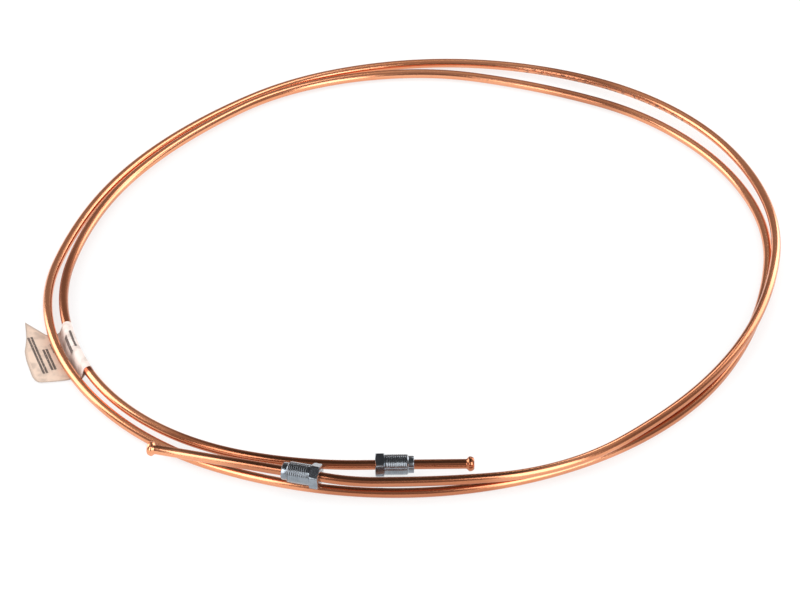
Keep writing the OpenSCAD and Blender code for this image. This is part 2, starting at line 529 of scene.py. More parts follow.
def to_object(shape: BMesh, name: str, body: Body, node: str,
              material: bpy.types.Material, sharp: float) -> bpy.types.Object:
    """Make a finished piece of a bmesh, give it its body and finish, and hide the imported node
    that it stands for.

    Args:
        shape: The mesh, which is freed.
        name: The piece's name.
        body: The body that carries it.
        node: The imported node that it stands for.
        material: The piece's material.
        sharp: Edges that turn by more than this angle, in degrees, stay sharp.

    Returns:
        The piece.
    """
    for face in shape.faces:
        face.smooth = True
    for edge in shape.edges:
        turn = edge.calc_face_angle(math.pi) if len(edge.link_faces) == 2 else math.pi
        edge.smooth = turn < math.radians(sharp)
    piece = link_mesh(shape, name, material)
    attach(piece, body.value)
    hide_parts(node)
    LOG.info("%s: %d faces on %s", name, len(piece.data.polygons), body.value)
    return piece


def link_mesh(shape: BMesh, name: str, material: bpy.types.Material) -> bpy.types.Object:
    """Make an object of a bmesh and put it into the scene.

    Args:
        shape: The mesh, which is freed.
        name: The object's name.
        material: Its material.

    Returns:
        The object.
    """
    mesh = bpy.data.meshes.new(name)
    shape.to_mesh(mesh)
    shape.free()
    mesh.materials.append(material)
    made = bpy.data.objects.new(name, mesh)
    bpy.context.scene.collection.objects.link(made)
    return made


def ring_edges(verts: list[BMVert]) -> list[BMEdge]:
    """Find the edges that lie between the given points.

    Args:
        verts: The points.

    Returns:
        Each edge once, in the points' order.
    """
    inside = set(verts)
    edges = dict.fromkeys(edge for vert in verts for edge in vert.link_edges)
    return [edge for edge in edges if edge.verts[0] in inside and edge.verts[1] in inside]


def append_mesh(shape: BMesh, part: BMesh) -> None:
    """Add one mesh to another.

    Args:
        shape: The mesh that grows.
        part: The mesh that is added, which is freed.
    """
    mesh = bpy.data.meshes.new("stretch")
    part.to_mesh(mesh)
    part.free()
    shape.from_mesh(mesh)
    bpy.data.meshes.remove(mesh)


def close_up(shape: BMesh, weld: float) -> None:
    """Merge a mesh's points that lie within weld of each other and turn its faces outwards."""
    bmesh.ops.remove_doubles(shape, verts=shape.verts[:], dist=weld)
    bmesh.ops.recalc_face_normals(shape, faces=shape.faces[:])


def along_curve(points: Curve, share: float) -> Vector:
    """Find the point at a share of the number of steps along a line given by its points.

    Args:
        points: The line's points.
        share: Place along it, from 0 to 1.

    Returns:
        The point, as a flat vector.
    """
    place = share * (len(points) - 1)
    k = min(int(place), len(points) - 2)
    return Vector(points[k]).lerp(Vector(points[k + 1]), place - k)


def heading_frame(heading: Vector, place: Vector) -> Matrix:
    """Return the frame at a place that has its Z axis along a level heading and its Y axis up."""
    turned = Matrix((UP.cross(heading), UP, heading)).transposed().to_4x4()
    return Matrix.Translation(place) @ turned


@dataclass
class Bend:
    """One round bend of the tube."""

    start: Vector
    heading: Vector
    inward: Vector
    radius: float
    angle: float

    @property
    def centre(self) -> Vector:
        """The middle of the bend's circle."""
        return self.start + self.radius * self.inward

    @property
    def axis(self) -> Vector:
        """The line that the bend turns about."""
        return self.heading.cross(self.inward)

    @classmethod
    def between(cls, start: Vector, heading: Vector, end: Vector) -> "Bend":
        """Find the bend that leads from one point to another.

        Args:
            start: The first point.
            heading: The direction there.
            end: The last point.

        Returns:
            The bend.
        """
        way = end - start
        inward = way - way.dot(heading) * heading
        return cls(start, heading, inward.normalized(), way.length_squared / (2 * inward.length),
                   2 * math.atan2(inward.length, way.dot(heading)))


@dataclass
class Route:
    """The way of the tube's axis through the coil, as the part's source gives it."""

    tube_d: float = 4.75 * MM
    lay_gap: float = 0.3 * MM
    coil_d: float = 364 * MM
    bulge: float = 10 * MM
    bulge_turn: float = 37
    left_heading: float = 345
    right_heading: float = 1
    hex_r: float = 11 * MM / math.sqrt(3)
    flag_t: float = 0.3 * MM
    floor_gap: float = 0.01 * MM
    oval_centre: Vector = field(default_factory=lambda: Vector((5.5, 1.3, 0)) * MM)
    label_station: int = 24
    left_nut_at: float = 3 * MM
    left_nut_turn: float = 23
    right_nut_at: float = 7 * MM
    right_nut_turn: float = 24
    bends: list[Bend] = field(default_factory=list)

    def __post_init__(self) -> None:
        """Work out the stations and the bends between them."""
        stations = self._stations()
        spots = [self._spot(*station) for station in stations]
        headings = self._headings(stations, spots)
        for ends in zip(spots, headings, spots[1:], headings[1:]):
            self.bends += self._pair(*ends)
        self.first, self.last = spots[0], spots[-1]
        self.first_heading, self.last_heading = headings[0], headings[-1]

    @property
    def pitch(self) -> float:
        """The distance between two strands that lie against each other."""
        return self.tube_d + self.lay_gap

    @property
    def label_bend(self) -> Bend:
        """The bend that carries the label."""
        return self.bends[2 * self.label_station]

    def _stations(self) -> list[Station]:
        """List the stations that the tube's axis runs through.

        Returns:
            The stations, from the upper straight end to the lower one.
        """
        radius = self.tube_d / 2
        left_lift = (self.hex_r + radius + self.lay_gap) / self.pitch
        right_lift = (self.hex_r + self.lay_gap - radius) / self.pitch
        flag_lift = (self.flag_t + 3 * self.lay_gap) / self.pitch
        return [
            (257, -0.7, left_lift),
            (272, -0.9, 1.5), (292, -1.8, 1.15), (315, -0.6, 1.05), (345, 0.7, 1.05),
            (375, 0.7, 0.8), (405, 0.2, 0.5), (435, -0.2, 0.2),
            (465, -0.6, 0), (495, 0.7, 0), (525, 1.4, 0.1),
            (555, 0.4, flag_lift), (585, 0.2, 0), (615, -0.1, 0),
            (645, -1, 0), (675, -0.8, 0), (705, 1.1, 0),
            (735, 1.8, 0), (765, 2.6, 0), (788, 2.8, 0),
            (810, 1.2, 0), (832, 0.7, 0.1), (855, 1.9, 0.25), (885, 2.6, 0.35),
            (915, 2, 0.5), (945, 1.4, 0.65),
            (981, 2.7, right_lift),
        ]

    def _spot(self, turn: float, inside: float, lift: float) -> Vector:
        """Find the place of the tube's axis at a station.

        Args:
            turn: The station's angle from +X, in degrees.
            inside: How many pitches it lies inside the oval.
            lift: How many pitches it lies above the floor.

        Returns:
            The place.
        """
        oval = self.coil_d / 2 + self.bulge * math.cos(2 * math.radians(turn - self.bulge_turn))
        height = self.tube_d / 2 + self.floor_gap + lift * self.pitch
        return self.oval_centre + (oval - inside * self.pitch) * self.level(turn) + height * UP

    def _headings(self, stations: list[Station], spots: list[Vector]) -> list[Vector]:
        """Find the tube's direction at each station.

        Args:
            stations: The stations.
            spots: Their places.

        Returns:
            The directions, which are level on the floor and at both straight ends.
        """
        headings = [self.level(self.left_heading)]
        for station, before, here, after in zip(stations[1:], spots, spots[1:], spots[2:]):
            back, ahead = here - before, after - here
            heading = back / back.length_squared + ahead / ahead.length_squared
            if station[2] == 0:
                heading.z = 0
            headings.append(heading.normalized())
        return headings + [self.level(self.right_heading)]

    @staticmethod
    def level(degrees: float) -> Vector:
        """Return the level direction at an angle from +X."""
        return Vector((math.cos(math.radians(degrees)), math.sin(math.radians(degrees)), 0))

    @staticmethod
    def _pair(start: Vector, leaving: Vector, end: Vector, coming: Vector) -> list[Bend]:
        """Find the two bends that lead smoothly from one station to the next.

        Args:
            start: The first station's place.
            leaving: The direction there.
            end: The next station's place.
            coming: The direction there.

        Returns:
            The bends.
        """
        way = end - start
        both, wide = way.dot(leaving + coming), 2 * (1 - leaving.dot(coming))
        reach = (math.sqrt(both * both + wide * way.length_squared) - both) / wide
        near, far = start + reach * leaving, end - reach * coming
        middle = (near + far) / 2
        return [Bend.between(start, leaving, middle),
                Bend.between(middle, (far - near).normalized(), end)]


@dataclass
class FlaredTube:
    """The bent tube with its bore and its two flared ends."""

    route: Route
    radius: float = 2.375 * MM
    bore: float = 1.675 * MM
    sides: int = 32
    stride: float = 3.6 * MM
    tail_strides: int = 3
    left_tail: float = 88 * MM
    right_tail: float = 54 * MM
    flare_r: float = 3.6 * MM
    nose: float = 2.1 * MM
    nose_face_r: float = 2.5 * MM
    nose_spare: float = 0.3 * MM
    nose_turns: tuple[int, ...] = (0, 12, 25, 38, 50, 62, 74, 84)
    bead_round: float = 0.9 * MM
    bead_turns: tuple[int, ...] = (0, -12, -25, -38, -45)
    bead_slope: float = 45
    fillet: float = 0.35 * MM
    # The fillet behind the bead: places along it and heights, as shares of its size
    fillet_curve: tuple[Span, ...] = ((-1, 0.9), (0, 0.25), (1, 0))
    mouth: float = 0.8 * MM
    weld: float = 0.005 * MM
    sharp: float = 50
    run: float = 0.0

    def flare_rows(self) -> list[Row]:
        """Work out the flare's section from its mouth inwards.

        Returns:
            Depth, outer radius and inner radius of each ring.
        """
        at = self.flare_r - self.bead_round
        dome = self.flare_r - self.nose_face_r + self.nose_spare
        outline = []
        for turn in map(math.radians, self.nose_turns):
            outline.append((self.nose * (1 - math.cos(turn)),
                            self.flare_r - dome * (1 - math.sin(turn))))
        for turn in map(math.radians, self.bead_turns):
            outline.append((self.nose - self.bead_round * math.sin(turn),
                            at + self.bead_round * math.cos(turn)))
        slope = self.bead_round * math.sin(math.radians(self.bead_slope))
        end = self.nose + 2 * slope + at - self.radius
        outline += [(end + place * self.fillet, self.radius + height * self.fillet)
                    for place, height in self.fillet_curve]
        widening = (self.nose_face_r - self.bore) / 2
        return [(depth, outer, self.bore + widening * max(0.0, 1 - depth / self.mouth))
                for depth, outer in outline]

    def end_rows(self, length: float) -> list[Row]:
        """Work out the section of a straight end with its flare.

        Args:
            length: The end's length, from the bend to the mouth.

        Returns:
            Depth, outer radius and inner radius of each ring.
        """
        rows = self.flare_rows()
        depth = rows[-1][0]
        steps = math.ceil((length - depth) / (self.tail_strides * self.stride))
        return rows + [(depth + (length - depth) * (k + 1) / steps, self.radius, self.bore)
                       for k in range(steps)]

    def build(self, finish: DrawnCopper) -> bpy.types.Object:
        """Build the tube, one bend after the other, and dress it.

        Args:
            finish: The copper finish.

        Returns:
            The piece.
        """
        shape = bmesh.new()
        shape.verts.layers.float_vector.new("lay")
        heading = self.route.first_heading
        place = heading_frame(heading, self.route.first - self.left_tail * heading)
        place = self._straight_end(shape, place, self.end_rows(self.left_tail), True)
        for bend in self.route.bends:
            place = self._turn(shape, place, bend)
        last = [(self.right_tail - depth, outer, inner)
                for depth, outer, inner in self.end_rows(self.right_tail)]
        self._straight_end(shape, place, last[::-1], False)
        close_up(shape, self.weld)
        return to_object(shape, "tube_bent", Body.LINE, "tube", finish.make(),
                         self.sharp)

    def _rings(self, part: BMesh, place: Matrix, row: Row) -> list[BMVert]:
        """Draw the outer and the inner ring where a stretch of the tube starts.

        Args:
            part: The stretch's own mesh.
            place: The tube's frame at the start, with its heading along Z.
            row: Distance, outer radius and inner radius there.

        Returns:
            The points of both rings.
        """
        lay = part.verts.layers.float_vector.new("lay")
        both = []
        for radius, plain in ((row[1], self.radius), (row[2], self.bore)):
            ring = bmesh.ops.create_circle(part, segments=self.sides, radius=radius)["verts"]
            for vert in ring:
                flat = vert.co.normalized() * plain
                vert[lay] = Vector((flat.x, flat.y, self.run))
            both += ring
        bmesh.ops.transform(part, matrix=place, verts=both)
        return both

    def _straight_end(self, shape: BMesh, place: Matrix, rows: list[Row],
                      mouth_first: bool) -> Matrix:
        """Extrude a straight end with its flare, whose mouth is merged with its bore later.

        Args:
            shape: The whole tube's mesh.
            place: The tube's frame where the end starts.
            rows: Distance, outer radius and inner radius of each ring.
            mouth_first: Whether the open mouth is the first ring or the last.

        Returns:
            The tube's frame at the other end.
        """
        part = bmesh.new()
        verts = self._rings(part, place, rows[0])
        lay = part.verts.layers.float_vector["lay"]
        rings = [ring_edges(verts[:self.sides]), ring_edges(verts[self.sides:])]
        if mouth_first:
            self._grow(part, rings[0], Vector(), rows[0][2] / rows[0][1])
        heading = place.to_3x3() @ UP
        for row, before in zip(rows[1:], rows):
            step = row[0] - before[0]
            self.run += step
            for k, ring in enumerate(rings):
                verts = self._grow(part, ring, step * heading, row[k + 1] / before[k + 1])
                for vert in verts:
                    vert[lay].z = self.run
                rings[k] = ring_edges(verts)
        if not mouth_first:
            self._grow(part, rings[0], Vector(), rows[-1][2] / rows[-1][1])
        append_mesh(shape, part)
        return Matrix.Translation((rows[-1][0] - rows[0][0]) * heading) @ place

    @staticmethod
    def _grow(part: BMesh, ring: list[BMEdge], move: Vector, share: float) -> list[BMVert]:
        """Extrude a ring.

        Args:
            part: The straight end's own mesh.
            ring: The ring's edges.
            move: How far the new ring moves.
            share: How wide the new ring is, where 1 is as wide as the old one.

        Returns:
            The new ring's points.
        """
        grown = bmesh.ops.extrude_edge_only(part, edges=ring)["geom"]
        verts = [piece for piece in grown if isinstance(piece, BMVert)]
        bmesh.ops.translate(part, vec=move, verts=verts)
        middle = sum((vert.co for vert in verts), Vector()) / len(verts)
        bmesh.ops.scale(part, vec=(share, share, share), space=Matrix.Translation(-middle),
                        verts=verts)
        return verts

    def _turn(self, shape: BMesh, place: Matrix, bend: Bend) -> Matrix:
        """Spin the rings round a bend.

        Args:
            shape: The whole tube's mesh.
            place: The tube's frame where the bend starts.
            bend: The bend.

        Returns:
            The tube's frame at the bend's end.
        """
        part = bmesh.new()
        verts = self._rings(part, place, (0.0, self.radius, self.bore))
        lay = part.verts.layers.float_vector["lay"]
        length = bend.radius * bend.angle
        steps = max(2, math.ceil(length / self.stride))
        bmesh.ops.spin(part, geom=verts + ring_edges(verts), cent=bend.centre, axis=bend.axis,
                       angle=bend.angle, steps=steps, use_duplicate=False)
        part.verts.ensure_lookup_table()
        row = 2 * self.sides
        for k in range(1, steps + 1):
            for vert in part.verts[k * row:(k + 1) * row]:
                vert[lay].z = self.run + length * k / steps
        self.run += length
        append_mesh(shape, part)
        to_centre = Matrix.Translation(bend.centre)
        turned = to_centre @ Matrix.Rotation(bend.angle, 4, bend.axis) @ to_centre.inverted()
        return turned @ place


@dataclass
class FlareNut:
    """A flare nut: chamfered hexagon, threaded shank, plain lead, bore and seat."""

    start: Vector
    heading: Vector
    turn: float
    hex_af: float = 11 * MM
    hex_l: float = 4.5 * MM
    corner_share: float = 0.985
    face_share: float = 0.97
    hex_slope: float = 30
    flat_turns: range = range(30, 390, 60)
    flat_snap: float = 1e-8
    thread_r: float = 5 * MM
    thread_l: float = 11.4 * MM
    thread_depth: float = 0.11 * MM
    thread_pitch: float = 1 * MM
    lead_r: float = 4.2 * MM
    lead_l: float = 2.5 * MM
    lead_round: float = 0.25 * MM
    # The lead's rounded end: places outwards and along, as shares of its size
    lead_curve: tuple[Span, ...] = ((0, -2), (-0.3, -0.6), (-1, 0))
    chamfer: float = 0.7 * MM
    bore_r: float = 2.475 * MM
    bore_chamfer: float = 0.3 * MM
    seat_r: float = 3.6 * MM
    sides: int = 72
    weld: float = 0.0001 * MM
    sharp: float = 32

    # The thread's ridge, with its half widths and run-outs in pitches
    ridge_start: float = 0.1 * MM
    ridge_stop: float = 0.25 * MM
    ridge_sink: float = 0.15 * MM
    foot_half: float = 0.47
    root_half: float = 0.44
    crest_half: float = 0.20
    run_in: float = 1.0
    run_out: float = 1.2
    least_ridge: float = 0.05
    turn_steps: int = 40

    # The darker hollows start this far below the thread's crest and inside the seat
    hollow_below: float = 0.07 * MM
    hollow_inside: float = 0.2 * MM

    @property
    def length(self) -> float:
        """The whole length."""
        return self.hex_l + self.thread_l + self.lead_l

    @property
    def thread_end(self) -> float:
        """The distance from the hexagon's back to the end of the threaded shank."""
        return self.hex_l + self.thread_l

    @property
    def root_r(self) -> float:
        """The radius at the bottom of the thread."""
        return self.thread_r - self.thread_depth

    def place(self) -> Matrix:
        """Return the move from the nut's own frame to its place on the tube."""
        turned = Matrix.Rotation(math.radians(self.turn), 4, "Z")
        return heading_frame(self.heading, self.start) @ turned

    def build(self, name: str, body: Body, node: str,
              material: bpy.types.Material) -> bpy.types.Object:
        """Build the nut and dress it.

        Args:
            name: The piece's name.
            body: The body that carries it.
            node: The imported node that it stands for.
            material: The zinc finish.

        Returns:
            The piece.
        """
        shape = bmesh.new()
        hollow = shape.verts.layers.float.new("hollow")
        self._turned(shape)
        self._flats(shape)
        close_up(shape, self.weld)
        self._thread(shape)
        for vert in shape.verts:
            out = math.hypot(vert.co.x, vert.co.y)
            inside = out < self.seat_r - self.hollow_inside
            on_thread = self.hex_l < vert.co.z < self.thread_end
            in_groove = on_thread and out < self.thread_r - self.hollow_below
            vert[hollow] = 1.0 if inside or in_groove else 0.0
        bmesh.ops.transform(shape, matrix=self.place(), verts=shape.verts[:])
        return to_object(shape, name, body, node, material, self.sharp)

    def _turned(self, shape: BMesh) -> None:
        """Spin the nut's half section, with a turned blank in place of the hexagon.

        Args:
            shape: The mesh.
        """
        corner_r = self.hex_af / math.sqrt(3) * self.corner_share
        face_r = self.hex_af / 2 * self.face_share
        fall = (corner_r - face_r) * math.tan(math.radians(self.hex_slope))
        end = self.length
        rounded = [(self.lead_r + out * self.lead_round, end + along * self.lead_round)
                   for out, along in self.lead_curve]
        points = [
            (self.bore_r, self.bore_chamfer), (self.bore_r + self.bore_chamfer, 0),
            (face_r, 0), (corner_r, fall), (corner_r, self.hex_l - fall), (face_r, self.hex_l),
            (self.root_r, self.hex_l), (self.root_r, self.thread_end - self.chamfer),
            (self.lead_r, self.thread_end), *rounded,
            (self.seat_r, end), (self.bore_r, end - (self.seat_r - self.bore_r)),
        ]
        bmesh.ops.spin(shape, geom=self._loop(shape, points), cent=(0, 0, 0), axis=(0, 0, 1),
                       angle=math.tau, steps=self.sides, use_merge=True)

    @staticmethod
    def _loop(shape: BMesh, points: Curve) -> list[Union[BMVert, BMEdge]]:
        """Draw a closed section.

        Args:
            shape: The mesh.
            points: Distance from the axis and place along it of each point.

        Returns:
            The section's points and then its edges.
        """
        verts = [shape.verts.new((out, 0, along)) for out, along in points]
        return verts + [shape.edges.new(ends) for ends in zip(verts, verts[1:] + verts[:1])]

    def _flats(self, shape: BMesh) -> None:
        """Cut the six flats and close each.

        Args:
            shape: The mesh.
        """
        for turn in map(math.radians, self.flat_turns):
            normal = Vector((math.cos(turn), math.sin(turn), 0))
            cut = bmesh.ops.bisect_plane(
                shape, geom=shape.verts[:] + shape.edges[:] + shape.faces[:], dist=self.flat_snap,
                plane_co=normal * self.hex_af / 2, plane_no=normal, clear_outer=True)
            edges = [part for part in cut["geom_cut"] if isinstance(part, BMEdge)]
            bmesh.ops.holes_fill(shape, edges=edges, sides=0)

    def _thread(self, shape: BMesh) -> None:
        """Wind the thread's ridge round the shank, with a run-out at both ends.

        Args:
            shape: The mesh.
        """
        old = set(shape.verts)
        pitch = self.thread_pitch
        start, end = self.hex_l + self.ridge_start, self.thread_end - self.ridge_stop
        turns = (end - start) / pitch - 1
        foot = self.root_r - self.ridge_sink
        halves = [(foot, self.foot_half), (self.root_r, self.root_half),
                  (self.thread_r, self.crest_half)]
        section = [(out, -half) for out, half in halves] + halves[::-1]
        loop = self._loop(shape, [(out, start + (along + 0.5) * pitch) for out, along in section])
        shape.faces.new(loop[:len(section)])
        steps = round(turns * self.turn_steps)
        spun = bmesh.ops.spin(
            shape, geom=loop, cent=(0, 0, 0), axis=(0, 0, 1), angle=turns * math.tau,
            dvec=(0, 0, turns * pitch / steps), steps=steps)["geom_last"]
        shape.faces.new([part for part in spun if isinstance(part, BMVert)])
        ridge = [vert for vert in shape.verts if vert not in old]
        for vert in ridge:
            out = math.hypot(vert.co.x, vert.co.y)
            fade = min(1.0, (vert.co.z - start) / (self.run_in * pitch),
                       (end - vert.co.z) / (self.run_out * pitch))
            kept = foot + (out - foot) * max(self.least_ridge, fade)
            vert.co.x *= kept / out
            vert.co.y *= kept / out
        faces = dict.fromkeys(face for vert in ridge for face in vert.link_faces)
        bmesh.ops.recalc_face_normals(shape, faces=list(faces))


@dataclass
class FlagLabel:
    """A paper label, folded round the tube and stuck to itself, askew, as a flag on the floor."""

    bend: Bend
    tube_r: float = 2.375 * MM
    length: float = 39 * MM
    shift: float = 3 * MM
    reach: float = 24.5 * MM
    paper: float = 0.15 * MM
    clearance: float = 0.13 * MM
    steps: int = 40
    sharp: float = 60

    # The fold's section in millimetres: below the tube, beside it from its axis, and above the flag
    below: Curve = field(default_factory=lambda: [
        (5.6, 0.24), (4.6, 0.27), (3.7, 0.5), (2.9, 1.05), (2.1, 1.85)])
    wrap_turns: range = range(-58, -347, -12)
    beside: Curve = field(default_factory=lambda: [(2.8, -1.0), (3.25, -2.5)])
    above: Curve = field(default_factory=lambda: [(3.9, 1.15), (4.7, 0.55), (5.6, 0.42)])
    rise_from: float = 0.6 * MM
    rise_over: float = 2 * MM

    # The flag's outline: distance from the tube and place along it, as shares of reach and length
    top_edge: Curve = field(default_factory=lambda: [(0.1, -0.36), (0.39, -0.55), (0.68, -0.86)])
    outer_edge: Curve = field(default_factory=lambda: [
        (0.68, -0.86), (0.73, -0.70), (0.79, -0.53), (0.86, -0.40), (0.93, -0.28), (0.95, -0.20),
        (0.97, -0.11), (0.98, 0.0), (0.99, 0.12), (1, 0.25), (0.98, 0.34), (0.94, 0.39),
        (0.88, 0.41)])
    bottom_edge: Curve = field(default_factory=lambda: [
        (0.1, 0.45), (0.36, 0.45), (0.62, 0.435), (0.88, 0.41)])
    inner_edge: Curve = field(default_factory=lambda: [(0.1, -0.36), (0.1, 0.45)])
    flag_columns: int = 30
    flag_rows: int = 46
    flag_z: float = 0.17 * MM

    # The flag's wave, which grows from where the outer strand holds it, and its lifted corner
    held: float = 11 * MM
    loose: float = 14 * MM
    wave: float = 0.8 * MM
    wave_turn: float = 5.2
    wave_lead: float = 0.4
    corner_curl: float = 0.6 * MM
    corner_from: float = 0.6

    # The darker rim, with the flag's rough width and its lengths from the top and the bottom edge
    rim: float = 1.3 * MM
    rim_width: float = 24 * MM
    rim_top: float = 40 * MM
    rim_bottom: float = 36 * MM
    rim_corner: float = 0.4

    def __post_init__(self) -> None:
        """Find the frame of the bend in plan and the label's place on it."""
        centre = self.bend.centre
        out = self.bend.start - centre
        self.base = Vector((centre.x, centre.y, 0))
        self.out = Vector((out.x, out.y, 0)).normalized()
        self.flat_r = out.to_2d().length
        self.middle = self.bend.angle / 2 + self.shift / self.bend.radius

    def axis_height(self, turn: float) -> float:
        """Return the height of the tube's axis at an angle from the bend's start."""
        arm = self.bend.start - self.bend.centre
        return (self.bend.centre + Matrix.Rotation(turn, 3, self.bend.axis) @ arm).z

    def section(self, height: float) -> Curve:
        """Draw the fold's section from the flag, under and round the tube and down again.

        Args:
            height: Height of the tube's axis.

        Returns:
            Each point's distance outwards from the tube's axis and its height, in metres.
        """
        wrap = self.tube_r + self.clearance
        points = [(far * MM, up * MM) for far, up in self.below]
        for turn in map(math.radians, self.wrap_turns):
            points.append((wrap * math.cos(turn), height + wrap * math.sin(turn)))
        points += [(far * MM, height + up * MM) for far, up in self.beside]
        return points + [(far * MM, up * MM) for far, up in self.above]

    def build(self, finish: LabelPaper) -> bpy.types.Object:
        """Build the label, with one layer of paper in its fold and two in its flag, and dress it.

        Args:
            finish: The paper finish.

        Returns:
            The piece.
        """
        shape = bmesh.new()
        sheet = shape.verts.layers.float_vector.new("sheet")
        self._fold(shape, sheet)
        fold = shape.faces[:]
        self._flag(shape, sheet)
        flag = shape.faces[len(fold):]
        bmesh.ops.recalc_face_normals(shape, faces=shape.faces[:])
        bmesh.ops.solidify(shape, geom=fold, thickness=self.paper)
        bmesh.ops.solidify(shape, geom=flag, thickness=2 * self.paper)
        bmesh.ops.recalc_face_normals(shape, faces=shape.faces[:])
        return to_object(shape, "label_folded", Body.LINE, "label",
                         finish.make(self.length, self.reach), self.sharp)

    def _fold(self, shape: BMesh, sheet: Any) -> None:
        """Spin the sleeve and its fold along the tube.

        Args:
            shape: The mesh.
            sheet: The layer of the sheet's own coordinates.
        """
        whole = self.length / self.bend.radius
        begin = self.middle - whole / 2
        points = self.section(self.axis_height(begin))
        arcs = [0.0]
        for here, there in zip(points[::-1], points[-2::-1]):
            arcs.append(arcs[-1] + math.dist(here, there))
        verts = [shape.verts.new(self.base + (self.flat_r + far) * self.out + up * UP)
                 for far, up in points]
        for vert, arc in zip(verts, reversed(arcs)):
            vert[sheet] = Vector((0, -arc, 0))
        edges = [shape.edges.new(ends) for ends in zip(verts, verts[1:])]
        bmesh.ops.rotate(shape, verts=verts, cent=self.base, matrix=Matrix.Rotation(begin, 3, "Z"))
        row = verts + edges
        for k in range(1, self.steps + 1):
            row = bmesh.ops.spin(shape, geom=row, cent=self.base, axis=UP, steps=1,
                                 angle=whole / self.steps, use_duplicate=False)["geom_last"]
            turn = begin + whole * k / self.steps
            rise = self.axis_height(turn) - self.axis_height(turn - whole / self.steps)
            for part in row:
                if isinstance(part, BMVert):
                    part[sheet] = Vector((k / self.steps * self.length, part[sheet].y, 0))
                    share = (part.co.z - self.rise_from) / self.rise_over
                    part.co.z += rise * min(1.0, max(0.0, share))

    def _flag(self, shape: BMesh, sheet: Any) -> None:
        """Lay the flag as a grid between its four given edges, with a slight wave.

        Args:
            shape: The mesh.
            sheet: The layer of the sheet's own coordinates.
        """
        grid = bmesh.ops.create_grid(shape, x_segments=self.flag_columns,
                                     y_segments=self.flag_rows, size=0.5)["verts"]
        turn = Matrix.Rotation(self.middle, 3, "Z")
        side = UP.cross(self.out)
        top, bottom = ((Vector(edge[0]), Vector(edge[-1]))
                       for edge in (self.top_edge, self.bottom_edge))
        for vert in grid:
            u, v = vert.co.x + 0.5, vert.co.y + 0.5
            across = along_curve(self.inner_edge, v).lerp(along_curve(self.outer_edge, v), u)
            down = along_curve(self.top_edge, u).lerp(along_curve(self.bottom_edge, u), v)
            corner = top[0].lerp(top[1], u).lerp(bottom[0].lerp(bottom[1], u), v)
            spot = across + down - corner
            far, on = spot.x * self.reach, spot.y * self.length
            height = self.flag_z + self._curl(far, u, v)
            flat = turn @ ((self.flat_r + far) * self.out + on * side)
            vert.co = self.base + flat + height * UP
            vert[sheet] = Vector((on + self.length, far, self._darker_rim(u, v)))

    def _curl(self, far: float, u: float, v: float) -> float:
        """Work out how high the flag waves and curls.

        Args:
            far: Distance from the tube.
            u: Share of the way from the inner edge to the outer one.
            v: Share of the way from the top edge to the bottom one.

        Returns:
            The height above the flag's base.
        """
        free = max(0.0, (far - self.held) / self.loose)
        waved = self.wave * free * (0.5 + 0.5 * math.cos(self.wave_turn * v + self.wave_lead))
        return waved + self.corner_curl * max(0, u - self.corner_from) * (1 - v) ** 3

    def _darker_rim(self, u: float, v: float) -> float:
        """Work out how dark the flag's rim is near its free edges and their corners.

        Args:
            u: Share of the way from the inner edge to the outer one.
            v: Share of the way from the top edge to the bottom one.

        Returns:
            1 at an edge, falling to 0 at the rim's width from it.
        """
        outer, top, bottom = (1 - u) * self.rim_width, v * self.rim_top, (1 - v) * self.rim_bottom
        corners = self.rim_corner * min(math.hypot(outer, top), math.hypot(outer, bottom))
        return max(0.0, 1 - min(outer, top, bottom, corners) / self.rim)


@dataclass(frozen=True)
class Window:
    """A soft light panel, whose level is 1 where its face is white."""

    name: str
    place: tuple[float, float, float]
    width: float
    height: float
    level: float
    target: tuple[float, float, float] = (0.0, 0.0, 0.0)

    def hang(self) -> None:
        """Hang the panel so that it faces its target."""
        lamp = bpy.data.lights.new(self.name, "AREA")
        lamp.shape = "RECTANGLE"
        lamp.size, lamp.size_y = self.width, self.height
        lamp.energy = self.level * math.pi * self.width * self.height
        holder = bpy.data.objects.new(self.name, lamp)
        holder.location = self.place
        way = Vector(self.target) - Vector(self.place)
        holder.rotation_euler = way.to_track_quat("-Z", "Y").to_euler()
        holder.visible_camera = False
        bpy.context.scene.collection.objects.link(holder)


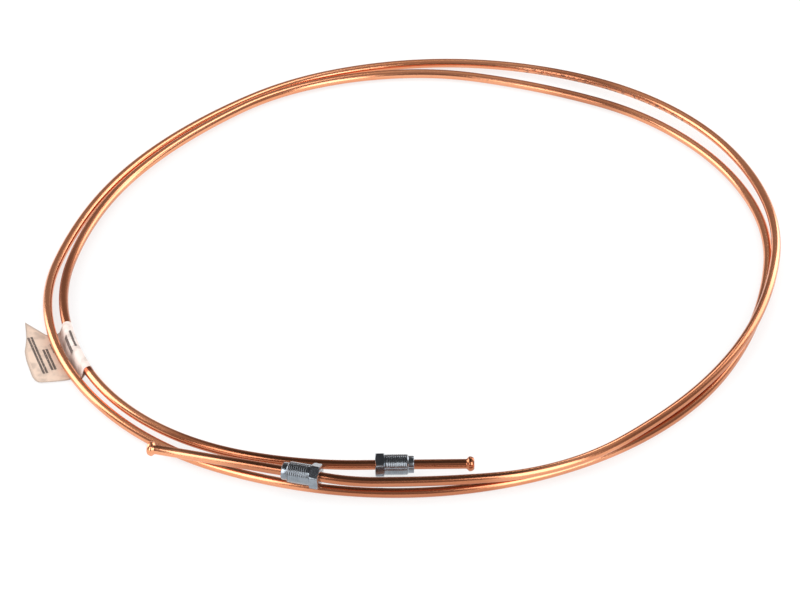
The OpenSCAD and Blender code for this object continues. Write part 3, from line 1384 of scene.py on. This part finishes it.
@dataclass
class Studio:
    """The camera, the pale floor and the soft light."""

    target: Vector = field(default_factory=lambda: Vector((-2.1, -24.7, 0)) * MM)
    distance: float = 2.4
    elevation: float = 36.4
    lens: float = 217.0
    sensor: float = 36.0
    sight: float = 50.0
    windows: tuple[Window, ...] = (
        Window("window_right", (0.60, 0.405, 0.24), 0.44, 0.50, 2.6),
        Window("window_left", (-0.69, 0.20, 0.265), 0.56, 0.54, 2.9),
        Window("window_right_front", (0.50, -0.66, 0.36), 0.46, 0.76, 3.2),
        Window("window_left_front", (-0.46, -0.56, 0.34), 0.28, 0.60, 3.0),
        Window("window_over", (0.17, 0.29, 0.42), 0.20, 0.20, 2.8, (-0.11, 0.125, 0.0)),
    )
    white: Colour = (1, 1, 1, 1)
    floor_half: float = 6.0
    floor_z: float = -0.2 * MM
    floor_tone: Colour = (0.93, 0.93, 0.93, 1)
    floor_glow: float = 0.68
    card_half: float = 0.12
    card_place: tuple[float, float, float] = (-0.015, -0.14, 0.15)
    card_tone: Colour = (0.075, 0.068, 0.065, 1)

    # The light from all round, and the room that metal mirrors, from level to overhead
    daylight: float = 0.85
    room: tuple[tuple[float, Colour], ...] = (
        (0.0, (0.36, 0.31, 0.29, 1)), (0.25, (0.26, 0.22, 0.205, 1)), (1.0, (0.34, 0.30, 0.28, 1)))
    high_back: Colour = (0.50, 0.46, 0.43, 1)
    high_depth: Span = (-0.20, 0.05)
    high_height: Span = (0.62, 0.82)
    right_back: Colour = (0.62, 0.56, 0.52, 1)
    right_across: Span = (0.15, 0.75)
    right_depth: Span = (0.10, 0.40)
    right_height: Span = (0.55, 0.80)

    def build(self) -> None:
        """Set up the whole studio."""
        self._camera()
        self._floor()
        self._world()
        for window in self.windows:
            window.hang()
        self._card()
        bpy.context.scene.view_settings.view_transform = "Standard"

    def _camera(self) -> None:
        """Place the camera."""
        camera = bpy.data.cameras.new("camera")
        camera.lens = self.lens
        camera.sensor_width = self.sensor
        camera.clip_end = self.sight
        holder = bpy.data.objects.new("camera", camera)
        rise = math.radians(self.elevation)
        way = Vector((0, math.cos(rise), -math.sin(rise)))
        holder.location = self.target - self.distance * way
        holder.rotation_euler = way.to_track_quat("-Z", "Y").to_euler()
        bpy.context.scene.collection.objects.link(holder)
        bpy.context.scene.camera = holder

    @staticmethod
    def _flat(name: str, half: float, place: tuple[float, float, float],
              material: bpy.types.Material) -> bpy.types.Object:
        """Lay out a level square.

        Args:
            name: The object's name.
            half: Half the square's side.
            place: The square's middle.
            material: Its material.

        Returns:
            The object.
        """
        shape = bmesh.new()
        bmesh.ops.create_grid(shape, x_segments=1, y_segments=1, size=half)
        bmesh.ops.translate(shape, vec=place, verts=shape.verts[:])
        return link_mesh(shape, name, material)

    @staticmethod
    def _rays(board: Board, *kinds: str) -> list[Wire]:
        """Return, for each kind of ray, 1 on such rays and 0 on others."""
        path = board.node("ShaderNodeLightPath", {}, {}).socket.node
        return [Wire(board, path.outputs[kind]) for kind in kinds]

    def _floor(self) -> None:
        """Lay the white floor, which keeps a soft shadow."""
        material, board = new_material("white_floor")
        seen, mirrored, through = self._rays(board, "Is Camera Ray", "Is Glossy Ray",
                                             "Is Transmission Ray")
        share = seen.at_least(mirrored).at_least(through) * self.floor_glow
        matt = board.node("ShaderNodeBsdfDiffuse", {}, {"Color": self.floor_tone})
        glow = board.node("ShaderNodeEmission", {}, {"Color": self.white, "Strength": 1.0})
        mixed = board.node("ShaderNodeMixShader", {}, {0: share, 1: matt, 2: glow})
        board.node("ShaderNodeOutputMaterial", {}, {"Surface": mixed})
        floor = self._flat("floor", self.floor_half, (0, 0, self.floor_z), material)

    def _card(self) -> None:
        """Hang a dark card over the nuts, which only metal mirrors."""
        material, board = new_material("dark_card")
        dim = board.node("ShaderNodeEmission", {}, {"Color": self.card_tone, "Strength": 1.0})
        board.node("ShaderNodeOutputMaterial", {}, {"Surface": dim})
        card = self._flat("dark_card", self.card_half, self.card_place, material)
        card.visible_camera = False
        card.visible_diffuse = False
        card.visible_shadow = False
        card.visible_transmission = False

    def _world(self) -> None:
        """Light the object from all round, and give metal a dim, warm room to mirror.

        The room is lighter high up at the back, and lower down at the right of the back.
        """
        world = bpy.data.worlds.new("studio")
        bpy.context.scene.world = world
        world.use_nodes = True
        board = Board(world.node_tree)
        seen, glossy = self._rays(board, "Is Camera Ray", "Is Glossy Ray")
        way = board.node("ShaderNodeTexCoord", {}, {}, "Generated")
        across, depth, height = board.split(way)
        room = board.node("ShaderNodeValToRGB", {"stops": self.room}, {0: height}, "Color")
        high = board.step(depth, self.high_depth) * board.step(height, self.high_height)
        room = board.mix(high, room, self.high_back)
        right = board.step(across, self.right_across) * board.step(depth, self.right_depth)
        right = right * (1.0 - board.step(height, self.right_height))
        room = board.mix(right, room, self.right_back)
        lights = [board.node("ShaderNodeBackground", {}, {"Color": colour, "Strength": strength})
                  for colour, strength in ((self.white, self.daylight), (room, 1.0),
                                           (self.white, 1.0))]
        lit = board.node("ShaderNodeMixShader", {}, {0: glossy, 1: lights[0], 2: lights[1]})
        out = board.node("ShaderNodeMixShader", {}, {0: seen, 1: lit, 2: lights[2]})
        board.node("ShaderNodeOutputWorld", {}, {"Surface": out})


def main() -> None:
    """Build the studio and each piece, and note the sizes."""
    logging.basicConfig(level=logging.INFO, format="%(name)s %(message)s")
    Studio().build()
    route = Route()
    FlaredTube(route).build(DrawnCopper())
    zinc = ZincPlate().make()
    left = -route.first_heading
    right = route.last_heading
    left_nut = FlareNut(route.first + route.left_nut_at * left, left, route.left_nut_turn)
    left_nut.build("nut_left", Body.LEFT_NUT, "left_flare_nut", zinc)
    right_nut = FlareNut(route.last + route.right_nut_at * right, right, route.right_nut_turn)
    right_nut.build("nut_right", Body.RIGHT_NUT, "right_flare_nut", zinc)
    FlagLabel(route.label_bend).build(LabelPaper())


if __name__ == "__main__":
    main()
